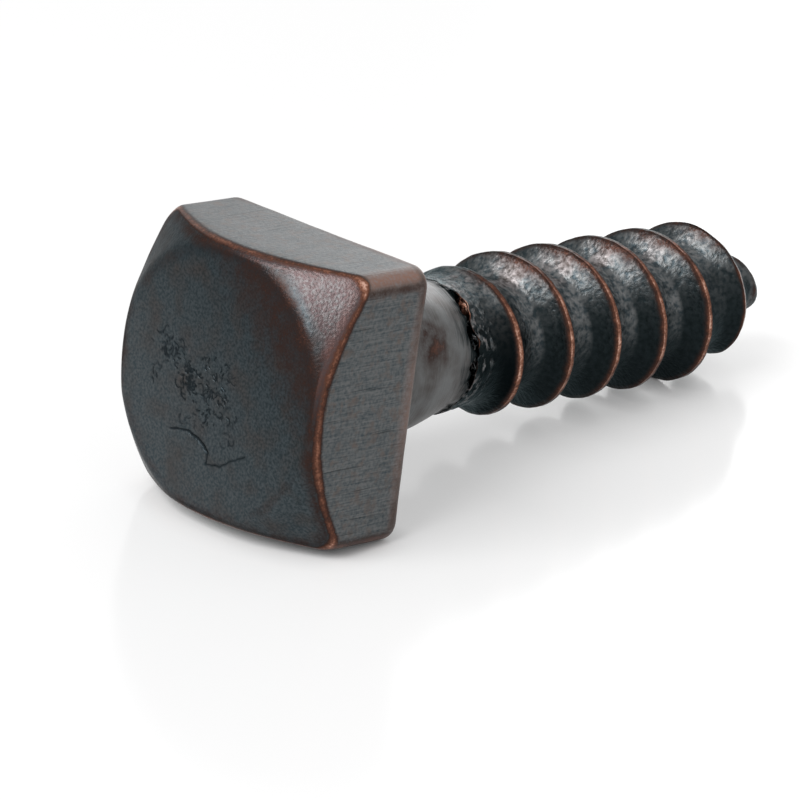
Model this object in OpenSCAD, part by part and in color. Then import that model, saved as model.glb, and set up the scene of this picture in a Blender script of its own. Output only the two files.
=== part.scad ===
// Square head lag bolt, one forged piece, lying at rest on its head and thread.
// Millimetres. The floor is z = 0, the tip points to +X.

/* [Head] */
// Width of the square head across its flats
head_w = 12.7; // [11.5:0.1:16]
// Height of the head from bearing face to crown
head_h = 6.1; // [5.5:0.1:8]
// Diameter of the flat at the middle of the crown
crown_flat_d = 11.6; // [9:0.1:11.6]
// Slope of the corner facets, measured from the flat
crown_slope = 42; // [25:1:50]
// Radius between the flat and the corner facets
crown_round = 1; // [0.5:0.1:2]
// Radius of the four corners of the square
corner_r = 0.9; // [0.4:0.1:1.5]
// Broken edge around the bearing face
back_break = 0.35; // [0.1:0.05:0.6]

/* [Shank] */
// Diameter of the plain body under the head
shank_d = 7.6; // [7:0.1:8]
// Length of the plain body under the head
shank_len = 4.1; // [3:0.1:6]
// Diameter of the neck where the thread begins
neck_d = 6.1; // [5.8:0.05:6.2]
// Distance from the bearing face to the thread
thread_start = 7.3; // [6.8:0.1:8.5]

/* [Thread] */
// Diameter over the thread crests
thread_d = 7.6; // [7.2:0.1:8]
// Diameter at the thread roots
core_d = 5.4; // [5:0.1:5.8]
// Diameter of the lip where the thread begins
lip_d = 6.4; // [6.3:0.05:6.6]
// Distance from crest to crest
pitch = 3.3; // [3:0.1:3.6]
// Width of the crest
crest_w = 0.3; // [0.2:0.05:0.5]
// Width of each flank, along the axis
flank_w = 0.8; // [0.5:0.05:0.9]
// Distance from the bearing face to the first crest, on the upper side
first_crest = 9.1; // [8.6:0.1:10]
// Length of the plain lip before the first groove
lip_len = 1.3; // [0.9:0.1:1.6]
// Length over which the crests rise from the lip and the grooves reach full depth
runout_len = 3.9; // [3.2:0.1:4.6]

/* [Point] */
// Length from the bearing face to the tip
length = 30.2; // [28:0.1:40]
// Length over which the crests taper away
point_len = 4.8; // [4.2:0.1:6.5]
// Length of the bare nub at the tip
nub_len = 1.4; // [1:0.1:2.4]
// Diameter over the last crest, where the nub begins
nub_d = 3.6; // [3.2:0.1:4.2]
// Diameter of the blunt end
tip_d = 1.7; // [1.2:0.1:2.2]

/* [Hidden] */
$fn = 96;
steel = [0.22, 0.2, 0.19];

// Corner and crown arcs
arc_steps = 5;
corner_steps = 6;
head_half = head_w / 2;
corner_mid = head_half - corner_r;
crown_reach = head_w * 0.75;
past = 1;

// Thread grid: columns around the axis, lines along the helix
columns = 48;
thread_r = thread_d / 2;
core_r = core_d / 2;
lip_r = lip_d / 2;
nub_r = nub_d / 2;
tip_r = tip_d / 2;
hollow = 0.4;
crest_half = crest_w / 2 / pitch;
flank_part = flank_w / pitch;
thread_form = [
    [crest_half, 1],
    [crest_half + flank_part / 2, hollow],
    [crest_half + flank_part, 0],
    [1 - crest_half - flank_part, 0],
    [1 - crest_half - flank_part / 2, hollow],
    [1 - crest_half, 1]
];
lines_per_turn = len(thread_form);
first_turn = floor((thread_start - first_crest) / pitch - 0.5) - 1;
last_turn = ceil((length - first_crest) / pitch + 0.5) + 1;
line_count = (last_turn - first_turn) * lines_per_turn;
least_step = 0.08;

// The neck's cone runs on inside the lip
neck_r = neck_d / 2;
shank_r = shank_d / 2;
neck_run_on = lip_len / 2;
neck_slope = (shank_r - neck_r) / (thread_start - shank_len);

// Crest and root radii along the axis
thread_full = thread_start + runout_len;
groove_begin = thread_start + lip_len;
last_groove = 0.5;
point_start = length - point_len;
nub_start = length - nub_len;
crest_curve = [
    [thread_start, lip_r],
    [thread_full, thread_r],
    [point_start, thread_r],
    [nub_start, nub_r],
    [length, tip_r]
];
root_curve = [
    [thread_start, lip_r],
    [groove_begin, lip_r],
    [thread_full, core_r],
    [point_start, core_r],
    [nub_start, nub_r - last_groove],
    [length, tip_r]
];

// Rest pose: the head's lower back edge and the last full crest touch the floor
rest_turn = floor((point_start - crest_w / 2 - first_crest) / pitch + 0.5);
rest_crest = first_crest + pitch * (rest_turn - 0.5) + crest_w / 2;
tilt = atan((head_half - thread_r) / (rest_crest + back_break));
lift = head_half * cos(tilt) - back_break * sin(tilt);
front_reach = max([for (p = crown_arc()) p[0] * sin(tilt) - p[1] * cos(tilt)]);
tip_reach = length * cos(tilt) + tip_r * sin(tilt);
mid_x = (tip_reach - front_reach) / 2;

// Points of the crown's profile, radius and height, from the flat outwards
function crown_arc() = [
    for (i = [0 : arc_steps])
        let (a = crown_slope * i / arc_steps)
        [crown_flat_d / 2 + crown_round * sin(a), crown_round * (1 - cos(a)) - head_h]
];

// Outline of the head, a square with rounded corners
function head_outline() = [
    for (q = [0 : 3], i = [0 : corner_steps])
        let (a = 90 * (q + i / corner_steps), m = 90 * q + 45)
        [
            corner_mid * sqrt(2) * cos(m) + corner_r * cos(a),
            corner_mid * sqrt(2) * sin(m) + corner_r * sin(a)
        ]
];

// Height of one point of the thread grid above the bearing face
function grid_z(i, k) =
    let (part = thread_form[k % lines_per_turn][0], turn = first_turn + floor(k / lines_per_turn))
    first_crest + pitch * (turn + part + i / columns - 0.5);

// Radius of one point of the thread grid
function grid_r(z, k) =
    let (high = lookup(z, crest_curve), low = lookup(z, root_curve))
    low + (high - low) * thread_form[k % lines_per_turn][1];

// Number of one grid point, with points past either end gathered on the end rings
function grid_id(i, k) =
    let (col = i % columns, row = k + lines_per_turn * floor(i / columns), z = grid_z(col, row))
    col * (line_count + 1)
        + (z < thread_start + least_step ? 0 : z > length - least_step ? line_count : row);

function grid_point(i, k) =
    let (z = k == 0 ? thread_start : k == line_count ? length : grid_z(i, k), r = grid_r(z, k))
    [r * cos(360 * i / columns), r * sin(360 * i / columns), z];

function three_corners(f) = f[0] != f[1] && f[1] != f[2] && f[2] != f[0];

// Helical thread with its core, from the lip to the blunt end
module thread() {
    points = [for (i = [0 : columns - 1], k = [0 : line_count]) grid_point(i, k)];
    sides = [
        for (i = [0 : columns - 1], k = [0 : line_count - 1])
            let (
                a = grid_id(i, k),
                b = grid_id(i, k + 1),
                c = grid_id(i + 1, k + 1),
                d = grid_id(i + 1, k)
            )
            for (f = [[a, b, d], [b, c, d]])
                if (three_corners(f)) f
    ];
    lip = [for (i = [0 : columns - 1]) grid_id(i, 0)];
    end = [for (i = [columns - 1 : -1 : 0]) grid_id(i, line_count)];
    polyhedron(points, concat(sides, [lip, end]));
}

// Plain body, with the neck that narrows into the thread
module shank() {
    neck_end = thread_start + neck_run_on;
    rotate_extrude()
        polygon([
            [0, -past],
            [shank_r, -past],
            [shank_r, shank_len],
            [neck_r - neck_slope * neck_run_on, neck_end],
            [0, neck_end]
        ]);
}

// Solid of revolution that bounds the crown: a flat, a round and the corner facets
module crown_bound() {
    arc = crown_arc();
    rim = arc[arc_steps];
    rim_top = rim[1] + (crown_reach - rim[0]) * tan(crown_slope);
    rotate_extrude()
        polygon(concat(
            [[0, -head_h]],
            arc,
            [[crown_reach, rim_top], [crown_reach, past], [0, past]]
        ));
}

// Four-sided taper that breaks the edges of the bearing face
module back_bound() {
    depth = head_h + past;
    back_half = head_half - back_break;
    translate([0, 0, -depth])
        rotate(45)
            cylinder(h = depth, r1 = sqrt(2) * (back_half + depth), r2 = sqrt(2) * back_half, $fn = 4);
}

// Square head
module head() {
    intersection() {
        translate([0, 0, -head_h - past])
            linear_extrude(head_h + 2 * past)
                polygon(head_outline());
        crown_bound();
        back_bound();
    }
}

// The whole bolt, laid down
module bolt() {
    color(steel)
        translate([-mid_x, 0, lift])
            rotate([0, 90 + tilt, 0])
                union() {
                    head();
                    shank();
                    thread();
                }
}

bolt();
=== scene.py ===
"""Square head lag bolt lying on a white table, dressed with worn dark bronze."""

import math
from collections import namedtuple

import bpy
import numpy as np
from mathutils import Matrix, Vector


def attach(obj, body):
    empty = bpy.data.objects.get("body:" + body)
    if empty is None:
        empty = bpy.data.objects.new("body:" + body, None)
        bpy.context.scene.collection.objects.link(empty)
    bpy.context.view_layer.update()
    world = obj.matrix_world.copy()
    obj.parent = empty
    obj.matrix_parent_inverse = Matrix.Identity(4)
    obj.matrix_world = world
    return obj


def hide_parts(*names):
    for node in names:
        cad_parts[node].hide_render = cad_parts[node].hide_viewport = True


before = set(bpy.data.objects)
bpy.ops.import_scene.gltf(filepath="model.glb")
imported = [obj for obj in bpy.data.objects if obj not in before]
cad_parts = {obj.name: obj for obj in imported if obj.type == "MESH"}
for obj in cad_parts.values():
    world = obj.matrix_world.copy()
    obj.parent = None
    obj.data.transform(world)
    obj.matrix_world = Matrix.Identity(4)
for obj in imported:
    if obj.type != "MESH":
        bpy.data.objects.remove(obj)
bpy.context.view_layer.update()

# Lengths are in millimetres where no other unit is named.
# Angles around the axis start at the bottom: 90 degrees is away from the camera, 180 is the top.
# Wear runs from 0, where the coat is whole, to 1 and a little more, where the metal is bright.

# Sizes of the bolt, as in the part's source
HEAD_HALF = 6.35
HEAD_H = 6.1
CROWN_FLAT_R = 5.8
CROWN_SLOPE = math.radians(42)
CROWN_ROUND = 1.0
CORNER_R = 0.9
BACK_BREAK = 0.35
SHANK_R = 3.8
SHANK_LEN = 4.1
NECK_R = 3.05
THREAD_START = 7.3
THREAD_R = 3.8
CORE_R = 2.7
LIP_R = 3.2
LIP_LEN = 1.3
RUNOUT_LEN = 3.9
PITCH = 3.3
FIRST_CREST = 9.1
CREST_W = 0.3
FLANK_W = 0.8
LENGTH = 30.2
POINT_LEN = 4.8
NUB_LEN = 1.4
NUB_R = 1.8
LAST_GROOVE = 0.5
TIP_R = 0.85

# Rest pose: the bolt dips towards its tip and touches at the head and at the fifth crest
REST_TURN = 5
REST_CREST = FIRST_CREST + PITCH * (REST_TURN - 0.5) + CREST_W / 2
TILT = math.atan((HEAD_HALF - THREAD_R) / (REST_CREST + BACK_BREAK))
LIFT = HEAD_HALF * math.cos(TILT) - BACK_BREAK * math.sin(TILT)
FRONT_REACH = CROWN_FLAT_R * math.sin(TILT) + (HEAD_H - CROWN_ROUND) * math.cos(TILT) + CROWN_ROUND
TIP_REACH = LENGTH * math.cos(TILT) + TIP_R * math.sin(TILT)
MID_X = (TIP_REACH - FRONT_REACH) / 2
MM_PER_M = 1000

# Softened edges, which the solid leaves sharp, and how much the softening varies
FRONT_SOFT = 0.36
FRONT_SOFT_UNEVEN = 0.03
FRONT_SOFT_CORNER = 0.1
BACK_SOFT = 0.45
BACK_SOFT_UNEVEN = 0.1
SHANK_FILLET = 0.35
NECK_BLEND = 0.35
BLEND_START = SHANK_LEN - 2 * NECK_BLEND
TIP_SOFT = 0.4

# Crown's edge: a rubbed line, brightest at the corners, in a fainter halo with a gap
EDGE_LINE = 0.12
RUB_LEAST = 0.55
RUB_UNEVEN = 0.2
RUB_CORNER = 0.65
FAR_CORNER_LEAST = 0.4
EDGE_HALO = 0.65
HALO_WEAR = 0.44
HALO_LEAST = 0.5
HALO_SPAN = math.radians(75)
HALO_GAP = 0.6
HALO_GAP_AT = math.radians(215)
HALO_GAP_SPAN = math.radians(20)

# Back edge: a broad rubbed line, fainter along the top and bleached on the camera's side; bearing face
BACK_LINE = 0.34
BACK_RUB = 0.84
BACK_GAP = 0.7
BACK_GAP_AT = math.radians(165)
BACK_GAP_SPAN = math.radians(35)
BACK_PALE = 0.9
BACK_PALE_AT = math.radians(270)
BACK_PALE_SPAN = math.radians(58)
BEARING_PALE = 0.8

# Corners of the head: rubbed, but for the handled one, which is pale with a dark line beside it
CORNER_SPAN = 0.42
CORNER_RUB = 0.62
CORNER_SHADE = 0.36
CORNER_SHADE_AT = 0.5
CORNER_SHADE_WIDTH = 0.2

# Upper-right facet of the crown, brighter than the other three: a painted highlight
FACET_AT = math.radians(225)
FACET_SPAN = math.radians(43)
FACET_FROM = 6.15
FACET_BLEND = 0.6

# Fold between the crown's flat and its facets: place from the axis, wear, and the painted shade of the
# upper part
FOLD_AT = 5.95
FOLD_WIDTH = 0.5
FOLD_WEAR = 0.29
FOLD_LEAST = 0.5
FOLD_SHADE = 0.7
TOP_SHADE = 0.3
SHADE_LEAN = 0.5
SHADE_RUN = 7
SHADE_MIDDLE = 0.2

# Crown's flat: paler towards the lower left, a painted reflection, and browner towards the upper right
LOW_LEFT_PALE = 0.46
LOW_LEFT_RUN = 14
TAN_WEAR = 0.3
TAN_FROM = 0.34

# Thread: power that hollows its flanks, where 1 leaves them straight
FLANK_HOLLOW = 1.3

# Thread: a rubbed line along the crest, sharper towards the tip, and a halo on the upper side
CREST_LINE = 0.19
CREST_RUB = 1.15
CREST_LEAST = 0.6
CREST_TIP_SIDE = 1.6
CREST_HALO = 0.5
CREST_HALO_WEAR = 0.44
FULL_CREST = 0.5

# Thread: pale tops, a painted highlight, and pale roots that darken towards the underside, partly painted
# light; both fade between two places along the axis from one strength to another
TOP_AT = math.radians(190)
TOP_SPAN = math.radians(34)
TOP_FADE = ((18, 24), (1, 0.7))
ROOT_FROM_CREST = 0.8
ROOT_BLEND = 0.2
ROOT_PALE = 0.6
ROOT_LOW_PALE = 0.5
ROOT_LEAST = 0.1
ROOT_FADE = ((22.3, 24), (1, 0.2))
HALF_RISE = 0.42

# Thread: painted shade that blackens the flank of the first turn along the axis, and the nub
BLACK_TO = 9.9
BLACK_END = 11.5
BLACK_SHARE = 0.9
NUB_WEAR = 0.36
NUB_PALE = 0.9
NUB_BLEND = 0.5

# Torn and ragged lip of the thread
TEARS_AT = (math.radians(217), math.radians(247), math.radians(279))
TEAR_SPAN = math.radians(10)
TEAR_STRENGTH = 1.4
TEAR_DEPTH = 0.5
TEAR_WIDTH = 0.55
TEAR_WALL = 0.03
CLOSED_WIDTH = 0.06
BURR_HIGH = 0.1
FLAKE_AT = math.radians(219)
FLAKE_SPAN = math.radians(12)
FLAKE_HIGH = 0.1
FLAKE_EDGE = 0.16
FLAKE_WEAR = 1.3
EDGE_WEAR = 0.6
LIP_WANDER = 0.34
LIP_FRAY = 0.2
LIP_EDGE = 0.08
LIP_STEP = 0.02
LIP_FLARE = 0.7
# How far along the neck its coat darkens towards the lip
LIP_DARK_REACH = 1.3

# Pale flecks on the first turn: places along the axis where they begin to fade and end, and their relief
FLECKS_FROM = 7.9
FLECKS_END = 8.7
FLECK_RELIEF = 1.6

# Brown patch on the neck, a painted reflection of the head's worn back edge carried as wear: place along
# the axis, angle around it, half sizes, and its uneven strength
NECK_REFLECTION_AT = (4.1, math.radians(245))
NECK_REFLECTION_SIZE = (1.3, math.radians(23))
NECK_REFLECTION_STRENGTH = 0.33
PATCH_LEAST = 0.2
PATCH_SWING = 1.6

# Crack and scratch on the crown: points away from the camera and up, depth, width and its changes
CRACK = [
    (2.5, -2.85),
    (1.75, -2.74),
    (1.25, -2.68),
    (0.86, -2.78),
    (0.43, -2.97),
    (0.06, -3.23),
    (0.07, -3.8),
]
CRACK_DEPTH = 0.07
CRACK_WIDTH = 0.1
CRACK_LEAST = 0.4
CRACK_SWELL = 0.7
CRACK_WIDEST = 0.62
CRACK_SWELL_SPAN = 0.28
SCRATCH = [(0.07, -3.8), (-0.84, -3.62), (-1.42, -3.24), (-2.23, -2.73)]
SCRATCH_DEPTH = 0.035
SCRATCH_WIDTH = 0.055
MARK_WANDER = 0.16
WIDTH_LEAST = 0.7
WIDTH_SWING = 0.6
DARK_AT_DEPTH = 0.03

# Small bright flake on the crown: place away from the camera and up, and half sizes
FLAKE_SPOT = (1.88, 0.91)
FLAKE_HALF = (0.05, 0.16)

# Patches of curled pits on the crown: middle, half width and half height, number and depth of the curls
PIT_PATCHES = [
    ((2.91, 0.5), (1.0, 0.7), 46, 0.045),
    ((3.74, -0.71), (0.12, 0.5), 6, 0.045),
    ((1.73, -0.46), (0.5, 0.65), 44, 0.055),
    ((0.27, -0.77), (0.95, 1.2), 74, 0.045),
    ((0.77, 0.74), (0.36, 0.35), 7, 0.04),
    ((-1.04, 0.52), (0.5, 0.44), 9, 0.025),
    ((1.45, -2.28), (0.48, 0.25), 7, 0.03),
    ((-0.98, -2.19), (0.3, 0.45), 7, 0.03),
]
PIT_SEED = 11
PIT_SPREAD = 0.6
CURL_LINE = 0.045
CURL_RADII = (0.07, 0.24)
CURL_SWEEPS = (1, 3)
CURL_DEPTHS = (0.5, 1)

# Layers of uneven skin by depth, cell size and seed: forged head, rough thread, ringed neck, scaly lip
FORGED_LAYERS = ((0.05, 3.1, 21), (0.015, 0.8, 22))
ROUGH_LAYERS = ((0.045, 0.7, 23), (0.02, 0.34, 24))
ROUGH_BLEND = 0.5
RING_LAYERS = ((0.05, 0.24, 27),)
RINGS_AT = 7.0
RINGS_HALF = 0.9
RINGS_STRETCH = (1, 0.12, 0.12)
SCALE_LAYERS = ((0.14, 0.22, 28),)
SCALES_AT = 7.7
SCALES_HALF = 0.7
SCALES_STRETCH = (1, 0.45, 0.45)

# Noise over the surface: cell size and seed
SIDE_NOISE = (0.3, 31)
UP_NOISE = (0.3, 32)
WIDTH_NOISE = (0.35, 33)
PATCH_NOISE = (0.4, 51)

# Noise around the axis: features to a turn and seed, and a shift in cells away from the axis
FRONT_NOISE = (14, 3)
RUB_NOISE = (31, 4)
BACK_NOISE = (11, 5)
LIP_NOISE = (22, 8)
BURR_NOISE = (36, 9)
TEAR_NOISE = (60, 10)
FRAY_NOISE = (75, 12)
RING_OFFSET = 50

# Large odd numbers and shifts that scramble a cell's place into a repeatable value
HASH_FACTORS = (73856093, 19349663, 83492791)
HASH_SEED = 2654435761
HASH_SCRAMBLE = 1274126177
HASH_SHIFTS = (13, 16)
HASH_MASK = 0xFFFFFFFF
HASH_LEVELS = 65536

# Turn of the noise against the bolt's axes, so that its cells don't show
NOISE_TURN = np.array(Matrix.Rotation(math.radians(50), 3, Vector((1, 2, 3))))

# Mesh density: points around, rows of each part, and the share of the crown with the closest rows
COLUMNS = 360
MARK_ROWS = 83
MARKS_END = 0.66
RIM_ROWS = 18
EDGE_ROWS = 7
WALL_ROWS = 10
BACK_ROWS = 4
FILLET_ROWS = 4
SHANK_ROWS = 5
NECK_ROWS = 34

# Rows of the thread: distances from a crest, and the least distance from either end
FORM_PLACES = (0.08, 0.15, 0.27, 0.42, 0.6, 0.8, 1.0)
LEAST_STEP = 0.05

# Colours of the metal: the dark coat, greys, rosy greys, and the browns and coppers that wear brings out
# Some of these also paint light: BLACK and INK paint shade, DUSK a reflection, MAUVE and STEEL a highlight
# on the crown, ASH and SHEEN highlights on the thread
BLACK = (0.002, 0.0035, 0.004)
INK = (0.007, 0.011, 0.014)
SOOT = (0.009, 0.013, 0.014)
SLATE = (0.044, 0.057, 0.064)
UMBER = (0.06, 0.053, 0.05)
DUSK = (0.082, 0.09, 0.094)
STEEL = (0.125, 0.129, 0.13)
ASH = (0.15, 0.154, 0.155)
SHEEN = (0.21, 0.192, 0.192)
MAUVE = (0.07, 0.052, 0.053)
ROSE = (0.09, 0.056, 0.053)
TAN = (0.11, 0.088, 0.078)
BLUSH = (0.23, 0.138, 0.11)
BROWN = (0.034, 0.02, 0.017)
RUST = (0.1, 0.043, 0.029)
COPPER = (0.24, 0.108, 0.07)
BRIGHT = (0.58, 0.35, 0.27)

# Wear at which brown, rust, copper and bright metal begin to show, and at which the last is full
WEAR_STEPS = (0.1, 0.35, 0.6, 0.85, 1.1)

# Gloss: roughness, tint at a grazing angle, and depth of the fine grain in metres
CROWN_ROUGH = (0.3, 0.4)
FLATS_ROUGH = 0.38
NECK_ROUGH = 0.36
THREAD_ROUGH = (0.28, 0.42)
CROWN_TINT = (0.6, 0.6, 0.6)
THREAD_TINT = (0.7, 0.78, 0.8)
CROWN_GRAIN = 0.00002
FLATS_GRAIN = 0.000015
NECK_GRAIN = 0.00002
THREAD_GRAIN = 0.00005

# Range that holds most of a noise node's values, and the most that some speckles and clouds cover
NOISE_LOW = 0.3
NOISE_HIGH = 0.7
CROWN_SPECKLE = 0.68
PALE_TONE_CLOUDS = 0.7
FLANK_SPECKLE = 0.14

# Sockets of the mix nodes for colours and shaders by number, because their names repeat
MIX_SHARE = 0
MIX_COLOURS = (6, 7)
MIX_RESULT = 2
MIX_SHADERS = (1, 2)

# Studio: lamps by name, place and size in metres, and power in watts; strength of the room's light
LAMPS = [
    ("key", (-0.37, 0.03, 0.34), 0.36, 2.3),
    ("back_panel", (0.62, 0.29, 0.2), 0.4, 0.8),
]
ROOM_LIGHT = 0.55

# Table in metres, and the share of its white that only shows and gives way close to the bolt
FLOOR_HALF = 3.0
FLOOR_COLOUR = (0.93, 0.93, 0.93)
FLOOR_ROUGH = 0.16
FLOOR_WHITE = 0.4
CONTACT_REACH = 0.0015
CONTACT_RAYS = 4

# Camera: place and aim in the bolt's own frame, and lens in millimetres; nearest distance in metres
CAMERA_AT = (-143.15, -133.84, 60.17)
AIM_AT = (6.01, 0, -2.48)
CAMERA_ROLL = math.radians(3.24)
LENS = 206.68
SENSOR = 36
CLIP_START = 0.01

# Regions of the surface, one material each
CROWN, FLATS, NECK, THREAD = range(4)

ANGLES = np.arange(COLUMNS) * math.tau / COLUMNS
ONES = np.ones(COLUMNS)
ZEROS = np.zeros(COLUMNS)

# One ring of the surface: radius and axial place at each angle, wear, paleness and region
Row = namedtuple("Row", "radius place wear pale region")


def smooth_noise(points, cell, seed):
    """Repeatable noise from 0 to 1 at points, with features about one cell in size."""
    scaled = points @ NOISE_TURN / cell
    base = np.floor(scaled).astype(np.int64)
    part = scaled - base
    part = part * part * (3 - 2 * part)
    total = np.zeros(len(points))
    for corner in range(8):
        bits = np.array([corner & 1, corner >> 1 & 1, corner >> 2 & 1])
        mixed = np.bitwise_xor.reduce((base + bits) * HASH_FACTORS, axis=1) ^ seed * HASH_SEED
        mixed = (mixed ^ mixed >> HASH_SHIFTS[0]) * HASH_SCRAMBLE & HASH_MASK
        value = (mixed ^ mixed >> HASH_SHIFTS[1]) % HASH_LEVELS / (HASH_LEVELS - 1)
        total += value * np.prod(np.where(bits, part, 1 - part), axis=1)
    return total


def ring_noise(cells, seed):
    """Repeatable noise from 0 to 1 around the axis, with so many features to a turn."""
    reach = cells / math.tau
    points = np.stack([reach * np.cos(ANGLES), reach * np.sin(ANGLES), ZEROS], axis=1)
    return smooth_noise(points + RING_OFFSET, 1.0, seed)


def hump(distance, width):
    """A soft hump of height 1 around distance 0."""
    return np.exp(-(distance / width) ** 2)


def hump_around(centre, width):
    """A soft hump of height 1 around one angle."""
    apart = (ANGLES - centre + math.pi) % math.tau - math.pi
    return hump(apart, width)


def from_least(least, share):
    """A share from 0 to 1, raised so that it starts from a least value."""
    return least + (1 - least) * share


def local_points(radius, place):
    """Points in the bolt's own frame: along the axis, away from the camera, and up."""
    along, turn = np.broadcast_arrays(place, ANGLES)
    return np.stack([along, radius * np.sin(turn), -radius * np.cos(turn)], axis=-1).reshape(-1, 3)


def to_row_frame(local):
    """Points of the bolt's own frame laid on the floor, in metres."""
    along, side, up = np.asarray(local, dtype=float).T
    x = along * math.cos(TILT) + up * math.sin(TILT) - MID_X
    z = up * math.cos(TILT) - along * math.sin(TILT) + LIFT
    return np.stack([x, side, z], axis=-1) / MM_PER_M


def head_reach():
    """Distance from the axis to the head's outline at each angle, a square with round corners."""
    long = np.maximum(abs(np.cos(ANGLES)), abs(np.sin(ANGLES)))
    short = np.minimum(abs(np.cos(ANGLES)), abs(np.sin(ANGLES)))
    middle = HEAD_HALF - CORNER_R
    flat = HEAD_HALF / long
    along = middle * (long + short)
    rounded = along + np.sqrt(np.maximum(along ** 2 - 2 * middle ** 2 + CORNER_R ** 2, 0))
    return np.where(flat * short <= middle, flat, rounded)


def past_corner(reach):
    """Distance along the outline past the middle of the nearest corner, below zero before it."""
    return (ANGLES % (math.pi / 2) - math.pi / 4) * reach


def crown_height(radius):
    """Axial place of the crown's surface: a flat, a round and a sloping facet."""
    round_width = CROWN_ROUND * math.sin(CROWN_SLOPE)
    on_round = np.clip(radius - CROWN_FLAT_R, 0, round_width)
    drop = CROWN_ROUND - np.sqrt(CROWN_ROUND ** 2 - on_round ** 2)
    drop = drop + np.maximum(radius - CROWN_FLAT_R - round_width, 0) * math.tan(CROWN_SLOPE)
    return drop - HEAD_H


def bend(first, corner, last, count):
    """Points of a rounded edge between two surfaces that meet in a corner, with the share of the way."""
    points = []
    for t in np.linspace(0, 1, count):
        shares = ((1 - t) ** 2, 2 * t * (1 - t), t ** 2)
        radius = shares[0] * first[0] + shares[1] * corner[0] + shares[2] * last[0]
        place = shares[0] * first[1] + shares[1] * corner[1] + shares[2] * last[1]
        points.append((t, radius, place))
    return points


def edge_wear(distance, rub, halo=0.0, line=EDGE_LINE):
    """Wear at a distance from an edge: a rubbed line in a fainter halo."""
    return np.maximum(rub * hump(distance, line), halo * hump(distance, EDGE_HALO))


def halo_wear():
    """Wear of the halo along the crown's edge at each angle, strongest beside the bright facet."""
    beside = from_least(HALO_LEAST, hump_around(FACET_AT, HALO_SPAN))
    return HALO_WEAR * beside * (1 - HALO_GAP * hump_around(HALO_GAP_AT, HALO_GAP_SPAN))


def corner_looks(reach):
    """Wear and paleness around the head's corners at each angle."""
    upper_right = hump_around(FACET_AT, FACET_SPAN)
    corner = hump(past_corner(reach), CORNER_SPAN)
    shade = CORNER_SHADE * hump(past_corner(reach) - CORNER_SHADE_AT, CORNER_SHADE_WIDTH)
    return CORNER_RUB * corner * (1 - upper_right) + shade * upper_right, corner * upper_right


def back_looks(distance):
    """Wear and paleness at a distance from the back edge at each angle."""
    bleached = hump_around(BACK_PALE_AT, BACK_PALE_SPAN)
    spared = np.maximum(hump_around(BACK_GAP_AT, BACK_GAP_SPAN), bleached)
    wear = edge_wear(distance, BACK_RUB * (1 - BACK_GAP * spared), line=BACK_LINE)
    return wear, BACK_PALE * bleached * hump(distance, BACK_LINE)


def front_shares():
    """Shares of the way from the crown's middle to its edge, closest together over the marks."""
    inner = np.linspace(0, MARKS_END, MARK_ROWS + 1)[1:]
    outer = np.linspace(MARKS_END, 1, RIM_ROWS + 1)[1:-1]
    return np.concatenate([inner, outer])


def crown_rows(reach, soft, rub):
    """Rings of the crown, from its middle to the start of its rounded edge."""
    rows = []
    upper_right = hump_around(FACET_AT, FACET_SPAN)
    facet = np.clip((reach - HEAD_HALF) / CROWN_ROUND, 0, 1) * from_least(FOLD_LEAST, upper_right)
    for share in front_shares():
        radius = share * (reach - soft)
        wear = edge_wear(reach - soft / 2 - radius, rub, halo_wear())
        fold = FOLD_WEAR * hump(radius - FOLD_AT, FOLD_WIDTH) * facet
        # Painted reflection: the flat is paler towards the lower left
        low_left = np.clip(0.5 + radius * (np.sin(ANGLES) + np.cos(ANGLES)) / LOW_LEFT_RUN, 0, 1)
        # Painted highlight: the upper-right facet is paler than the other three
        bright = np.clip((radius - FACET_FROM) / FACET_BLEND, 0, 1) * upper_right
        tan = TAN_WEAR * np.clip(1 - low_left / TAN_FROM, 0, 1) * (1 - bright)
        wear = np.maximum(np.maximum(wear, fold), tan)
        pale = np.maximum(bright, LOW_LEFT_PALE * low_left)
        rows.append(Row(radius, crown_height(radius), wear, pale, CROWN))
    return rows


def front_edge_rows(reach, soft, rub):
    """Rings of the rounded edge between the crown and the flats."""
    rows = []
    top = crown_height(reach)
    start = reach - soft
    upper_right = hump_around(FACET_AT, FACET_SPAN)
    corner_wear, corner_pale = corner_looks(reach)
    edge = bend((start, crown_height(start)), (reach, top), (reach, top + soft), EDGE_ROWS)
    for t, radius, place in edge:
        wear = edge_wear((t - 0.5) * soft, rub, halo_wear() * (1 - t))
        wear = np.maximum(wear, corner_wear * t)
        if t < 0.5:
            # On the upper-right side, the crown's half of the edge carries on the facet's painted highlight
            rows.append(Row(radius, place, wear, upper_right, CROWN))
        else:
            rows.append(Row(radius, place, wear, corner_pale, FLATS))
    return rows


def flat_rows(reach, front_soft, back_soft, rub):
    """Rings of the four flats."""
    rows = []
    top = crown_height(reach)
    corner_wear, corner_pale = corner_looks(reach)
    for share in np.linspace(0, 1, WALL_ROWS)[1:-1]:
        place = (top + front_soft) * (1 - share) - back_soft * share
        back_wear, back_pale = back_looks(-place - back_soft / 2)
        wear = np.maximum(edge_wear(place - top - front_soft / 2, rub), back_wear)
        wear = np.maximum(wear, corner_wear)
        rows.append(Row(reach, place, wear, np.maximum(corner_pale, back_pale), FLATS))
    return rows


def back_edge_rows(reach, soft):
    """Rings of the rounded edge between the flats and the bearing face."""
    rows = []
    corner_wear, corner_pale = corner_looks(reach)
    for t, radius, place in bend((reach, -soft), (reach, ZEROS), (reach - soft, ZEROS), EDGE_ROWS):
        back_wear, back_pale = back_looks((t - 0.5) * soft)
        wear = np.maximum(back_wear, corner_wear * (1 - t))
        rows.append(Row(radius, place, wear, np.maximum(corner_pale, back_pale), FLATS))
    return rows


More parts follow.
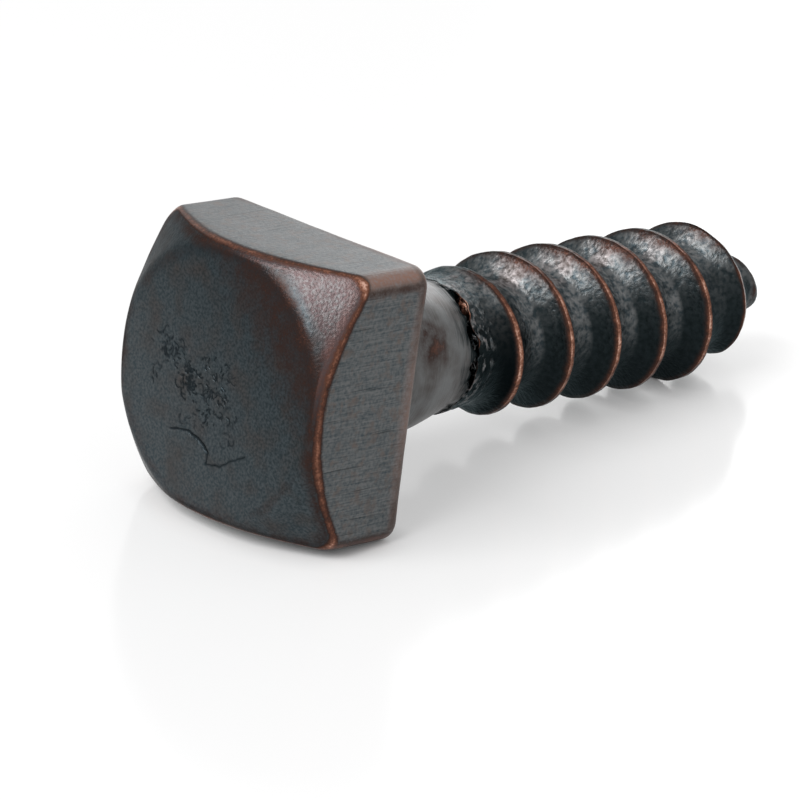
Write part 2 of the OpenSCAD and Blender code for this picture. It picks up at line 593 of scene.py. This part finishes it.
def bearing_rows(outer):
    """Rings of the bearing face and of the fillet at the shank."""
    rows = []
    foot = SHANK_R + SHANK_FILLET
    for share in np.linspace(0, 1, BACK_ROWS)[1:]:
        radius = outer * (1 - share) + foot * share
        rows.append(Row(radius, ZEROS, ZEROS, BEARING_PALE * ONES, NECK))
    for _, radius, place in bend((foot, 0), (SHANK_R, 0), (SHANK_R, SHANK_FILLET), FILLET_ROWS)[1:]:
        rows.append(Row(radius * ONES, place * ONES, ZEROS, ZEROS, NECK))
    return rows


def head_rows():
    """Rings from the crown's middle to the shank."""
    reach = head_reach()
    near_corner = hump(past_corner(reach), CORNER_SPAN)
    front_soft = FRONT_SOFT + FRONT_SOFT_UNEVEN * ring_noise(*FRONT_NOISE) + FRONT_SOFT_CORNER * near_corner
    back_soft = BACK_SOFT + BACK_SOFT_UNEVEN * ring_noise(*BACK_NOISE)
    brightest = from_least(FAR_CORNER_LEAST, hump_around(FACET_AT, FACET_SPAN))
    rub = RUB_LEAST + RUB_UNEVEN * ring_noise(*RUB_NOISE) + RUB_CORNER * near_corner * brightest
    rows = crown_rows(reach, front_soft, rub)
    rows += front_edge_rows(reach, front_soft, rub)
    rows += flat_rows(reach, front_soft, back_soft, rub)
    rows += back_edge_rows(reach, back_soft)
    return rows + bearing_rows(reach - back_soft)


def painted_neck_reflection(place):
    """Wear that paints the brown patch on the neck, a painted reflection of the head's back edge, at a
    place along the neck.
    """
    around = hump_around(NECK_REFLECTION_AT[1], NECK_REFLECTION_SIZE[1])
    return NECK_REFLECTION_STRENGTH * around * hump(place - NECK_REFLECTION_AT[0], NECK_REFLECTION_SIZE[0])


def shank_rows():
    """Rings of the plain shank."""
    rows = []
    for place in np.linspace(SHANK_FILLET, BLEND_START, SHANK_ROWS)[1:]:
        # The wear here paints the neck's brown patch, a painted reflection of the head's back edge
        rows.append(Row(SHANK_R * ONES, place * ONES, painted_neck_reflection(place), ONES, NECK))
    return rows


def lip_place():
    """Axial place of the ragged lip at each angle."""
    wander = LIP_WANDER * (ring_noise(*LIP_NOISE) - 0.5)
    return THREAD_START + wander + LIP_FRAY * (ring_noise(*FRAY_NOISE) - 0.5)


def torn_share():
    """1 in the middle of each tear of the lip, down to 0 between them, at each angle."""
    return np.clip(TEAR_STRENGTH * sum(hump_around(at, TEAR_SPAN) for at in TEARS_AT), 0, 1)


def neck_rows(neck_end, torn):
    """Rings of the neck, from the end of the shank to the tears before the lip."""
    rows = []
    slope = (SHANK_R - NECK_R) / (THREAD_START - SHANK_LEN)
    for share in np.linspace(0, 1, NECK_ROWS)[1:]:
        place = BLEND_START * (1 - share) + neck_end * share
        past = (place - SHANK_LEN) / NECK_BLEND
        flare = np.clip((place - neck_end + LIP_FLARE) / LIP_FLARE, 0, 1) ** 2 * (LIP_R - NECK_R)
        radius = SHANK_R - slope * NECK_BLEND * np.logaddexp(0, past) + flare * (1 - torn / 2)
        uneven = PATCH_LEAST + PATCH_SWING * smooth_noise(local_points(radius, place), *PATCH_NOISE)
        pale = np.clip((neck_end - place) / LIP_DARK_REACH, 0, 1)
        # The wear here paints the neck's brown patch, a painted reflection of the head's back edge, made
        # uneven
        rows.append(Row(radius, place, uneven * painted_neck_reflection(place), pale, NECK))
    return rows


def lip_rows(lip, neck_end, torn):
    """Rings of the groove before the lip, torn open in places, and of the lip's own edge."""
    floor = LIP_R - LIP_STEP - (FLAKE_EDGE + TEAR_DEPTH) * torn
    flake = hump_around(FLAKE_AT, FLAKE_SPAN)
    burr = BURR_HIGH * (ring_noise(*BURR_NOISE) - 0.5) * torn + FLAKE_HIGH * flake
    bright = np.maximum(FLAKE_WEAR * flake, EDGE_WEAR * torn)
    return [
        Row(floor, neck_end + TEAR_WALL, ZEROS, ZEROS, THREAD),
        Row(floor, lip - TEAR_WALL, ZEROS, ZEROS, THREAD),
        Row(LIP_R + burr - FLAKE_EDGE * torn, lip - LIP_STEP, FLAKE_WEAR * flake, ZEROS, THREAD),
        Row(LIP_R + burr, lip, bright, ZEROS, THREAD),
    ]


def rows_before_thread():
    """Rings from the crown's middle to the lip."""
    lip = lip_place()
    torn = torn_share()
    neck_end = lip - CLOSED_WIDTH - TEAR_WIDTH * torn * ring_noise(*TEAR_NOISE)
    return head_rows() + shank_rows() + neck_rows(neck_end, torn) + lip_rows(lip, neck_end, torn)


def thread_form():
    """Fractions of the pitch from one crest to the next, and the height of the form there."""
    half = []
    for place in FORM_PLACES:
        down = np.clip((place - CREST_W / 2) / FLANK_W, 0, 1)
        half.append((place / PITCH, (1 - down) ** FLANK_HOLLOW))
    other = [(1 - part, height) for part, height in reversed(half)]
    return half + other


def thread_curves(place):
    """Crest and root radii at an axial place."""
    full = THREAD_START + RUNOUT_LEN
    point = LENGTH - POINT_LEN
    nub = LENGTH - NUB_LEN
    crest_at = [THREAD_START, full, point, nub, LENGTH]
    crest = np.interp(place, crest_at, [LIP_R, THREAD_R, THREAD_R, NUB_R, TIP_R])
    root_at = [THREAD_START + LIP_LEN, full, point, nub, LENGTH]
    root = np.interp(place, root_at, [LIP_R, CORE_R, CORE_R, NUB_R - LAST_GROOVE, TIP_R])
    into_tip = np.clip((place - LENGTH + TIP_SOFT) / TIP_SOFT, 0, 1)
    tip_drop = TIP_SOFT * (1 - np.sqrt(1 - into_tip ** 2))
    return crest - tip_drop, root - tip_drop


def nub_share(place):
    """0 on the thread and up to 1 on the nub, worn to the metal."""
    return np.clip((place - LENGTH + NUB_LEN) / NUB_BLEND, 0, 1)


def thread_wear(part, place, rise):
    """Wear of the thread's grid: a line along the crest, a halo on its upper side, and the nub."""
    from_crest = np.minimum(part, 1 - part) * PITCH
    line = hump(np.where(part > 0.5, from_crest, from_crest * CREST_TIP_SIDE), CREST_LINE)
    around = from_least(CREST_LEAST, np.sin(ANGLES) ** 2)
    halo = CREST_HALO_WEAR * hump(from_crest, CREST_HALO)
    rubbed = np.maximum(CREST_RUB * np.outer(line, around), np.outer(halo, hump_around(TOP_AT, TOP_SPAN)))
    standing = np.clip(rise / FULL_CREST, 0, 1)
    return np.maximum(rubbed * standing, NUB_WEAR * nub_share(place))


def thread_pale(part, place, rise):
    """Paleness of the thread's grid: its roots, paler on their upper side in partly painted light, its
    tops, a painted highlight, and the nub.
    """
    from_crest = np.minimum(part, 1 - part) * PITCH
    root_share = np.clip((from_crest - ROOT_FROM_CREST) / ROOT_BLEND, 0, 1)
    # Roots are paler on their upper side and darker below: partly painted light
    upper = np.clip(ROOT_LOW_PALE - np.cos(ANGLES), ROOT_LEAST, 1)
    risen = np.clip(rise / HALF_RISE - 1, 0, 1)
    roots = ROOT_PALE * np.outer(root_share, upper) * risen * np.interp(place, *ROOT_FADE)
    # Painted highlight on the tops of the turns
    tops = hump_around(TOP_AT, TOP_SPAN) * np.interp(place, *TOP_FADE)
    return np.maximum(np.maximum(roots, tops), NUB_PALE * nub_share(place))


def thread_grid():
    """Grid of the thread along its helix, with its ends gathered: a row of arrays and its numbers."""
    form = thread_form()
    per_turn = len(form)
    first_turn = math.floor((THREAD_START - FIRST_CREST) / PITCH - 0.5) - 1
    last_turn = math.ceil((LENGTH - FIRST_CREST) / PITCH + 0.5) + 1
    count = (last_turn - first_turn) * per_turn
    k = np.arange(count + per_turn + 1)
    turn = first_turn + k // per_turn
    part = np.array([f[0] for f in form])[k % per_turn]
    height = np.array([f[1] for f in form])[k % per_turn]
    start = lip_place() + LIP_EDGE
    place = FIRST_CREST + PITCH * ((turn + part)[:, None] + ANGLES / math.tau - 0.5)
    low = place < start + LEAST_STEP
    high = place > LENGTH - LEAST_STEP
    place = np.where(low, start, np.where(high, LENGTH, place))
    crest, root = thread_curves(place)
    rise = crest - root
    radius = np.where(low, LIP_R, root + rise * height[:, None])
    wear = np.where(low, 0, thread_wear(part, place, rise))
    numbers = np.where(low, 0, np.where(high, count, k[:, None]))
    return Row(radius, place, wear, thread_pale(part, place, rise), THREAD), numbers, count, per_turn


def ring_faces(low, high):
    """Quads between two rings of vertices, given by their first numbers."""
    here = np.arange(COLUMNS)
    there = (here + 1) % COLUMNS
    return [(low + i, low + j, high + j, high + i) for i, j in zip(here, there)]


def thread_faces(numbers, count, per_turn):
    """Faces of the helical grid, with corners that fell together merged."""
    faces = []
    for k in range(count):
        for i in range(COLUMNS):
            j = (i + 1) % COLUMNS
            shift = per_turn if j == 0 else 0
            corners = (numbers[k, i], numbers[k + shift, j], numbers[k + 1 + shift, j], numbers[k + 1, i])
            kept = tuple(dict.fromkeys(int(c) for c in corners))
            if len(kept) > 2:
                faces.append(kept)
    return faces


def bolt_surface():
    """Local points, faces, wear, paleness and region of the whole bolt as one closed surface."""
    rows = rows_before_thread()
    thread, numbers, count, per_turn = thread_grid()
    kept = slice(0, count + 1)
    first_thread = 1 + len(rows) * COLUMNS
    tip = first_thread + (count + 1) * COLUMNS
    points = [
        np.array([[-HEAD_H, 0, 0]]),
        local_points(np.array([r.radius for r in rows]), np.array([r.place for r in rows])),
        local_points(thread.radius[kept], thread.place[kept]),
        np.array([[LENGTH, 0, 0]]),
    ]
    worn = [[0], np.array([r.wear for r in rows]).ravel(), thread.wear[kept].ravel(), [0]]
    pale = [[0], np.array([r.pale for r in rows]).ravel(), thread.pale[kept].ravel(), [0]]
    faces = [(0, b, a) for a, b, _, _ in ring_faces(1, 1)]
    region = [CROWN] * COLUMNS
    for k in range(len(rows) - 1):
        faces += ring_faces(1 + k * COLUMNS, 1 + (k + 1) * COLUMNS)
        region += [rows[k + 1].region] * COLUMNS
    helix = ring_faces(first_thread - COLUMNS, first_thread)
    helix += thread_faces(first_thread + numbers * COLUMNS + np.arange(COLUMNS), count, per_turn)
    helix += [(a, b, tip) for a, b, _, _ in ring_faces(tip - COLUMNS, tip - COLUMNS)]
    faces += helix
    region += [THREAD] * len(helix)
    return np.concatenate(points), faces, np.concatenate(worn), np.concatenate(pale), np.array(region)


def drop_unused(points, faces, worn, pale):
    """Leaves out the grid points that no face uses."""
    used = np.unique(np.concatenate([np.array(f) for f in faces]))
    number = np.zeros(len(points), dtype=int)
    number[used] = np.arange(len(used))
    return points[used], [tuple(number[list(f)].tolist()) for f in faces], worn[used], pale[used]


def near_line(side, up, line):
    """Distance of points on the crown from a broken line, and their share of the way along it."""
    nearest = np.full(len(side), np.inf)
    along = np.zeros(len(side))
    for number, ((s0, u0), (s1, u1)) in enumerate(zip(line, line[1:])):
        t = ((side - s0) * (s1 - s0) + (up - u0) * (u1 - u0)) / ((s1 - s0) ** 2 + (u1 - u0) ** 2)
        t = np.clip(t, 0, 1)
        distance = np.hypot(side - s0 - t * (s1 - s0), up - u0 - t * (u1 - u0))
        along = np.where(distance < nearest, (number + t) / (len(line) - 1), along)
        nearest = np.minimum(nearest, distance)
    return nearest, along


def on_crown(local):
    """1 on the crown's flat and 0 elsewhere."""
    return (local[:, 0] < CROWN_ROUND / 3 - HEAD_H) * 1.0


def curl(side, up, middle, size, start, sweep):
    """Closeness, from 0 to 1, of points on the crown to a curl, an open ring."""
    away_side, away_up = side - middle[0], up - middle[1]
    turn = (np.arctan2(away_up, away_side) - start) % math.tau
    return hump(np.hypot(away_side, away_up) - size, CURL_LINE) * (turn < sweep)


def pits(side, up):
    """Depth of the curled pits in the crown."""
    chance = np.random.default_rng(PIT_SEED)
    depth = np.zeros(len(side))
    for middle, half, count, deep in PIT_PATCHES:
        for _ in range(count):
            spot = chance.normal(middle, np.multiply(half, PIT_SPREAD))
            size = chance.uniform(*CURL_RADII)
            start = chance.uniform(0, math.tau)
            near = curl(side, up, spot, size, start, chance.uniform(*CURL_SWEEPS))
            depth = np.maximum(depth, chance.uniform(*CURL_DEPTHS) * deep * near)
    return depth


def crown_marks(local):
    """Depth of the crack, the scratch and the pits in the crown."""
    side = local[:, 1] + MARK_WANDER * (smooth_noise(local, *SIDE_NOISE) - 0.5)
    up = local[:, 2] + MARK_WANDER * (smooth_noise(local, *UP_NOISE) - 0.5)
    uneven = WIDTH_LEAST + WIDTH_SWING * smooth_noise(local, *WIDTH_NOISE)
    away, along = near_line(side, up, CRACK)
    taper = CRACK_LEAST + CRACK_SWELL * hump(along - CRACK_WIDEST, CRACK_SWELL_SPAN)
    crack = CRACK_DEPTH * hump(away, CRACK_WIDTH * uneven * taper)
    away, _ = near_line(side, up, SCRATCH)
    scratch = SCRATCH_DEPTH * hump(away, SCRATCH_WIDTH * uneven)
    return np.maximum(np.maximum(crack, scratch), pits(side, up)) * on_crown(local)


def painted_upper_shade(local):
    """How dark the painted shade is in the fold and on the flat, in the upper part of the crown."""
    along, side, up = local.T
    upper = np.clip(SHADE_MIDDLE + (up - SHADE_LEAN * side) / SHADE_RUN, 0, 1) * (along < -HEAD_H / 2)
    radius = np.hypot(side, up)
    inside = TOP_SHADE * np.clip((FACET_FROM - radius) / FACET_BLEND, 0, 1)
    return np.maximum(FOLD_SHADE * hump(radius - FOLD_AT, FOLD_WIDTH), inside) * upper


def flake_share(local):
    """1 on the small bright flake among the pits and 0 elsewhere."""
    side, up = local[:, 1] - FLAKE_SPOT[0], local[:, 2] - FLAKE_SPOT[1]
    return hump(np.hypot(side / FLAKE_HALF[0], up / FLAKE_HALF[1]), 1.0) * on_crown(local)


def layered_noise(local, layers):
    """Depth of a skin made of layers of noise."""
    return sum(deep * smooth_noise(local, cell, seed) for deep, cell, seed in layers)


def surface_depth(local):
    """Depth of the forged unevenness, the thread's rough skin, the neck's rings and the lip's scales."""
    along = local[:, 0]
    threaded = np.clip((along - THREAD_START) / ROUGH_BLEND, 0, 1)
    ringed = hump(along - RINGS_AT, RINGS_HALF) * (1 - threaded)
    scaly = hump(along - SCALES_AT, SCALES_HALF)
    depth = layered_noise(local, FORGED_LAYERS) * (1 - threaded)
    depth += layered_noise(local, ROUGH_LAYERS) * threaded
    depth += layered_noise(local * RINGS_STRETCH, RING_LAYERS) * ringed
    depth += layered_noise(local * SCALES_STRETCH, SCALE_LAYERS) * scaly
    return depth


def add_values(mesh, name, values):
    """One value for each vertex, for the materials."""
    mesh.attributes.new(name, "FLOAT", "POINT").data.foreach_set("value", values)


def make_bolt(materials):
    """The bolt as one dense mesh in place of the plain solid."""
    local, faces, worn, pale, region = bolt_surface()
    local, faces, worn, pale = drop_unused(local, faces, worn, pale)
    mesh = bpy.data.meshes.new("bolt_skin")
    mesh.from_pydata(to_row_frame(local).tolist(), [], faces)
    mesh.polygons.foreach_set("use_smooth", np.ones(len(faces), dtype=bool))
    mesh.polygons.foreach_set("material_index", region)
    normals = np.zeros(len(local) * 3)
    mesh.vertices.foreach_get("normal", normals)
    marks = crown_marks(local)
    depth = surface_depth(local) + marks
    placed = to_row_frame(local) - normals.reshape(-1, 3) * depth[:, None] / MM_PER_M
    mesh.vertices.foreach_set("co", placed.ravel())
    add_values(mesh, "wear", worn)
    add_values(mesh, "pale", np.maximum(pale, flake_share(local)))
    # Darkens the crown's marks by their depth, and holds the painted shade of its upper part
    add_values(mesh, "mark_and_shade", np.maximum(np.clip(marks / DARK_AT_DEPTH, 0, 1), painted_upper_shade(local)))
    own_place = mesh.attributes.new("bolt_place", "FLOAT_VECTOR", "POINT")
    own_place.data.foreach_set("vector", local.ravel())
    for material in materials:
        mesh.materials.append(material)
    mesh.update()
    piece = bpy.data.objects.new("bolt_skin", mesh)
    bpy.context.scene.collection.objects.link(piece)
    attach(piece, "root")
    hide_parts("bolt")


def new_material(name):
    """A material with its node tree and its shader."""
    material = bpy.data.materials.new(name)
    material.use_nodes = True
    tree = material.node_tree
    return material, tree, tree.nodes["Principled BSDF"]


def value_of(tree, attribute, vector=False):
    """Socket with one attribute of the mesh."""
    node = tree.nodes.new("ShaderNodeAttribute")
    node.attribute_name = attribute
    return node.outputs["Vector" if vector else "Fac"]


def place_along(tree):
    """Socket with the place along the bolt's axis, in millimetres."""
    node = tree.nodes.new("ShaderNodeSeparateXYZ")
    tree.links.new(value_of(tree, "bolt_place", True), node.inputs["Vector"])
    return node.outputs["X"]


def noise(tree, scale, detail, stretch=(1, 1, 1)):
    """Socket with noise over the bolt's own coordinates, in millimetres."""
    mapping = tree.nodes.new("ShaderNodeMapping")
    mapping.inputs["Scale"].default_value = stretch
    tree.links.new(value_of(tree, "bolt_place", True), mapping.inputs["Vector"])
    node = tree.nodes.new("ShaderNodeTexNoise")
    node.inputs["Scale"].default_value = scale
    node.inputs["Detail"].default_value = detail
    tree.links.new(mapping.outputs["Vector"], node.inputs["Vector"])
    return node.outputs["Fac"]


def spread(tree, source, low, high, to_low=0.0, to_high=1.0):
    """Socket with a value moved from one range to another, clamped."""
    node = tree.nodes.new("ShaderNodeMapRange")
    node.inputs["From Min"].default_value = low
    node.inputs["From Max"].default_value = high
    node.inputs["To Min"].default_value = to_low
    node.inputs["To Max"].default_value = to_high
    tree.links.new(source, node.inputs["Value"])
    return node.outputs["Result"]


def swing(tree, source, to_low, to_high):
    """Socket with noise moved from its usual range to another."""
    return spread(tree, source, NOISE_LOW, NOISE_HIGH, to_low, to_high)


def combine(tree, kind, first, second):
    """Socket with two values added, multiplied or the like; each is a number or a socket."""
    node = tree.nodes.new("ShaderNodeMath")
    node.operation = kind
    for socket, value in zip(node.inputs, (first, second)):
        if isinstance(value, (int, float)):
            socket.default_value = value
        else:
            tree.links.new(value, socket)
    return node.outputs["Value"]


def times(tree, first, second):
    """Socket with two values multiplied."""
    return combine(tree, "MULTIPLY", first, second)


def mix_colours(tree, share, first, second):
    """Socket with two colours mixed; each is a colour or a socket."""
    node = tree.nodes.new("ShaderNodeMix")
    node.data_type = "RGBA"
    tree.links.new(share, node.inputs[MIX_SHARE])
    for number, value in zip(MIX_COLOURS, (first, second)):
        if isinstance(value, tuple):
            node.inputs[number].default_value = (*value, 1)
        else:
            tree.links.new(value, node.inputs[number])
    return node.outputs[MIX_RESULT]


def relief(tree, shader, height, distance):
    """Fine grain on the shader's normal, too small to model."""
    node = tree.nodes.new("ShaderNodeBump")
    node.inputs["Distance"].default_value = distance
    tree.links.new(height, node.inputs["Height"])
    tree.links.new(node.outputs["Normal"], shader.inputs["Normal"])


def uneven_gloss(tree, shader, source, rough):
    """Roughness that varies with noise between two values."""
    tree.links.new(swing(tree, source, *rough), shader.inputs["Roughness"])


def worn_metal(tree, shader, colour, brown=BROWN):
    """Dark coat that turns brown, then rust, then copper, then bright where it is rubbed."""
    patchy = swing(tree, noise(tree, scale=1.6, detail=3.0), to_low=0.75, to_high=1.25)
    grainy = swing(tree, noise(tree, scale=9.0, detail=2.0), to_low=0.82, to_high=1.18)
    worn = times(tree, value_of(tree, "wear"), times(tree, patchy, grainy))
    for low, high, metal in zip(WEAR_STEPS, WEAR_STEPS[1:], (brown, RUST, COPPER, BRIGHT)):
        colour = mix_colours(tree, spread(tree, worn, low, high), colour, metal)
    tree.links.new(colour, shader.inputs["Base Color"])
    shader.inputs["Metallic"].default_value = 1.0


def crown_material():
    """Slate-dark coat of the crown, greyer on the upper-right facet as a painted highlight and towards the
    lower left as a painted reflection, with dark marks, painted shade in the upper part and a fine grain.
    """
    material, tree, shader = new_material("bronzed_crown")
    pale = value_of(tree, "pale")
    clouds = spread(tree, noise(tree, scale=0.8, detail=5.0), low=0.45, high=0.75)
    grain = noise(tree, scale=8.0, detail=4.0)
    speckle = spread(tree, grain, low=0.36, high=0.64)
    colour = mix_colours(tree, clouds, SLATE, UMBER)
    colour = mix_colours(tree, times(tree, speckle, CROWN_SPECKLE), colour, SOOT)
    # Tone for paleness up to a half: the painted reflection towards the lower left, and the start of the
    # facet's painted highlight
    painted_pale_tone = mix_colours(tree, speckle, DUSK, SLATE)
    painted_pale_tone = mix_colours(tree, times(tree, clouds, PALE_TONE_CLOUDS), painted_pale_tone, UMBER)
    colour = mix_colours(tree, spread(tree, pale, low=0.0, high=0.5), colour, painted_pale_tone)
    # Colour of the upper-right facet's painted highlight
    silvery = spread(tree, noise(tree, scale=7.0, detail=4.0), low=0.4, high=0.84)
    facets = mix_colours(tree, silvery, MAUVE, STEEL)
    colour = mix_colours(tree, spread(tree, pale, low=0.5, high=0.9), colour, facets)
    broken = spread(tree, grain, low=0.3, high=0.6, to_low=1.0, to_high=0.72)
    # Dark marks and the painted shade of the crown's upper part turn towards INK
    colour = mix_colours(tree, times(tree, value_of(tree, "mark_and_shade"), broken), colour, INK)
    brown = mix_colours(tree, spread(tree, pale, low=0.3, high=0.8), BROWN, ROSE)
    worn_metal(tree, shader, colour, brown)
    uneven_gloss(tree, shader, noise(tree, scale=1.6, detail=4.0), CROWN_ROUGH)
    shader.inputs["Specular Tint"].default_value = (*CROWN_TINT, 1)
    relief(tree, shader, grain, CROWN_GRAIN)
    return material


def flats_material():
    """Brushed flats of the head, with fine lines along the axis, pale at the handled corner and edge."""
    material, tree, shader = new_material("bronzed_flats")
    pale = value_of(tree, "pale")
    lines = noise(tree, scale=1.0, detail=4.0, stretch=(0.5, 14, 14))
    grain = noise(tree, scale=6.5, detail=5.0)
    uneven = times(tree, combine(tree, "ADD", lines, grain), 0.5)
    colour = mix_colours(tree, spread(tree, uneven, low=0.35, high=0.6), SLATE, STEEL)
    mottles = spread(tree, noise(tree, scale=2.6, detail=5.0), low=0.5, high=0.72, to_high=0.8)
    colour = mix_colours(tree, mottles, colour, TAN)
    dashes = noise(tree, scale=1.0, detail=2.0, stretch=(0.22, 9, 9))
    scratches = spread(tree, dashes, low=0.64, high=0.7, to_high=0.6)
    colour = mix_colours(tree, scratches, colour, SOOT)
    rubbed = mix_colours(tree, spread(tree, grain, low=0.45, high=0.85), BLUSH, SHEEN)
    colour = mix_colours(tree, pale, colour, rubbed)
    worn_metal(tree, shader, colour, mix_colours(tree, pale, BROWN, TAN))
    shader.inputs["Roughness"].default_value = FLATS_ROUGH
    relief(tree, shader, uneven, FLATS_GRAIN)
    return material


def neck_material():
    """Smoother coat of the neck and the bearing face, browned in clouds and in one patch that is a painted
    reflection, and darker towards the lip.
    """
    material, tree, shader = new_material("bronzed_neck")
    clouds = spread(tree, noise(tree, scale=0.6, detail=4.0), low=0.42, high=0.64, to_high=0.9)
    rings = noise(tree, scale=1.0, detail=4.0, stretch=(7, 0.7, 0.7))
    colour = mix_colours(tree, clouds, STEEL, UMBER)
    wavy = swing(tree, rings, to_low=-0.4, to_high=0.4)
    pale_share = combine(tree, "ADD", value_of(tree, "pale"), wavy)
    colour = mix_colours(tree, spread(tree, pale_share, low=0.1, high=0.7), SOOT, colour)
    worn_metal(tree, shader, colour)
    shader.inputs["Roughness"].default_value = NECK_ROUGH
    relief(tree, shader, rings, NECK_GRAIN)
    return material


def thread_material():
    """Near-black rough coat of the thread, greyer in its roots in partly painted light, with a painted
    highlight on the tops and painted shade on the first turn's flank, rubbed to copper on the crests.
    """
    material, tree, shader = new_material("bronzed_thread")
    along = place_along(tree)
    grain = noise(tree, scale=4.2, detail=4.0)
    speckle = spread(tree, grain, low=0.36, high=0.6)
    flank = mix_colours(tree, times(tree, speckle, FLANK_SPECKLE), SOOT, SLATE)
    # Painted shade: the first turn's flank is blackened
    first_turn = spread(tree, along, BLACK_TO, BLACK_END, to_low=BLACK_SHARE, to_high=0.0)
    flank = mix_colours(tree, first_turn, flank, BLACK)
    patches = spread(tree, noise(tree, scale=1.2, detail=3.0), low=0.36, high=0.54, to_low=0.5)
    flat_noise = noise(tree, scale=2.4, detail=5.0, stretch=(1.5, 0.9, 0.9))
    scales = spread(tree, flat_noise, low=0.5, high=0.6)
    near_lip = spread(tree, along, FLECKS_FROM, FLECKS_END, to_low=1.0, to_high=0.0)
    flecks = times(tree, scales, near_lip)
    pale_share = combine(tree, "MAXIMUM", times(tree, value_of(tree, "pale"), patches), flecks)
    # Above ROOT_PALE: the painted highlight on the tops, and the flecks by the lip and the nub
    rubbed = spread(tree, pale_share, ROOT_PALE, 1.0)
    dark = mix_colours(tree, rubbed, SLATE, UMBER)
    light = mix_colours(tree, rubbed, ASH, SHEEN)
    skin = mix_colours(tree, speckle, dark, light)
    worn_metal(tree, shader, mix_colours(tree, spread(tree, pale_share, 0.0, ROOT_PALE), flank, skin))
    uneven_gloss(tree, shader, noise(tree, scale=2.4, detail=4.0), THREAD_ROUGH)
    shader.inputs["Specular Tint"].default_value = (*THREAD_TINT, 1)
    height = combine(tree, "ADD", grain, times(tree, flecks, FLECK_RELIEF))
    relief(tree, shader, height, THREAD_GRAIN)
    return material


def seen_or_mirrored(tree):
    """Socket with 1 where the camera sees a surface, directly or mirrored, and 0 where it only lights."""
    path = tree.nodes.new("ShaderNodeLightPath")
    seen = combine(tree, "MAXIMUM", path.outputs["Is Camera Ray"], path.outputs["Is Glossy Ray"])
    return combine(tree, "MAXIMUM", seen, path.outputs["Is Transmission Ray"])


def floor_material():
    """Glossy white, part of it only shown and mirrored, and less of that close to the bolt."""
    material, tree, shader = new_material("white_table")
    shader.inputs["Base Color"].default_value = (*FLOOR_COLOUR, 1)
    shader.inputs["Roughness"].default_value = FLOOR_ROUGH
    contact = tree.nodes.new("ShaderNodeAmbientOcclusion")
    contact.inputs["Distance"].default_value = CONTACT_REACH
    contact.samples = CONTACT_RAYS
    white = times(tree, contact.outputs["AO"], FLOOR_WHITE)
    glow = tree.nodes.new("ShaderNodeEmission")
    mix = tree.nodes.new("ShaderNodeMixShader")
    tree.links.new(times(tree, seen_or_mirrored(tree), white), mix.inputs["Fac"])
    for number, socket in zip(MIX_SHADERS, (shader.outputs["BSDF"], glow.outputs["Emission"])):
        tree.links.new(socket, mix.inputs[number])
    tree.links.new(mix.outputs["Shader"], tree.nodes["Material Output"].inputs["Surface"])
    return material


def make_floor():
    """White table that runs out of sight."""
    low, high = -FLOOR_HALF, FLOOR_HALF
    mesh = bpy.data.meshes.new("table")
    mesh.from_pydata([(low, low, 0), (high, low, 0), (high, high, 0), (low, high, 0)], [], [(0, 1, 2, 3)])
    mesh.materials.append(floor_material())
    table = bpy.data.objects.new("table", mesh)
    bpy.context.scene.collection.objects.link(table)


def make_world():
    """White surroundings, seen and mirrored at full white and giving a softer even light."""
    world = bpy.data.worlds.new("white_room")
    bpy.context.scene.world = world
    world.use_nodes = True
    tree = world.node_tree
    back = tree.nodes["Background"]
    back.inputs["Color"].default_value = (1, 1, 1, 1)
    strength = spread(tree, seen_or_mirrored(tree), 0, 1, ROOM_LIGHT, 1.0)
    tree.links.new(strength, back.inputs["Strength"])


def make_lamp(name, place, size, power):
    """Square soft lamp that points at the bolt."""
    data = bpy.data.lights.new(name, "AREA")
    data.shape = "SQUARE"
    data.size = size
    data.energy = power
    lamp = bpy.data.objects.new(name, data)
    lamp.location = place
    lamp.rotation_euler = (-Vector(place)).to_track_quat("-Z", "Y").to_euler()
    bpy.context.scene.collection.objects.link(lamp)


def make_camera():
    """Long-lens camera in front of the head, a little above it and slightly rolled."""
    data = bpy.data.cameras.new("camera")
    data.sensor_width = SENSOR
    data.lens = LENS
    data.clip_start = CLIP_START
    camera = bpy.data.objects.new("camera", data)
    place = Vector(to_row_frame(CAMERA_AT))
    aim = Vector(to_row_frame(AIM_AT))
    upright = (aim - place).to_track_quat("-Z", "Y").to_matrix()
    turned = upright @ Matrix.Rotation(CAMERA_ROLL, 3, "Z")
    camera.matrix_world = Matrix.Translation(place) @ turned.to_4x4()
    bpy.context.scene.collection.objects.link(camera)
    bpy.context.scene.camera = camera


make_bolt([crown_material(), flats_material(), neck_material(), thread_material()])
make_floor()
make_world()
for lamp in LAMPS:
    make_lamp(*lamp)
make_camera()
bpy.context.scene.view_settings.view_transform = "Standard"
